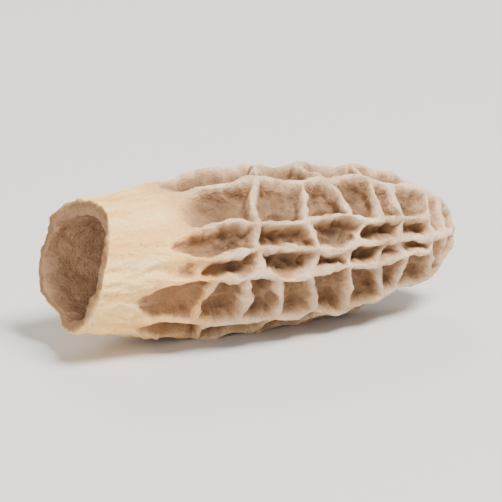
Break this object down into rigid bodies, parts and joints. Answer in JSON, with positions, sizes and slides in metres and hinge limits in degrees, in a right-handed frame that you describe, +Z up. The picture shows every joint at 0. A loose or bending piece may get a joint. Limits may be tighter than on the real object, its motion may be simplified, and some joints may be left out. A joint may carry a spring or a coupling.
{
  "type": "morel mushroom",
  "caption": "Dried morel mushroom lying on its side, with a ridged and pitted cap that tapers to its tip and a short cut stem open to the hollow inside.",
  "frame": {"origin": "centre of the base of the bounding box, on the surface that the mushroom lies on", "axes": "+X along the mushroom from its cut stem to the cap's tip, +Y across it, +Z up"},
  "size_m": [0.0252, 0.0112, 0.0096],
  "materials": {
    "flesh": "matt, dry and slightly waxy on the ridges"
  },
  "bodies": {
    "root": {"morel": "flesh"}
  },
  "joints": []
}
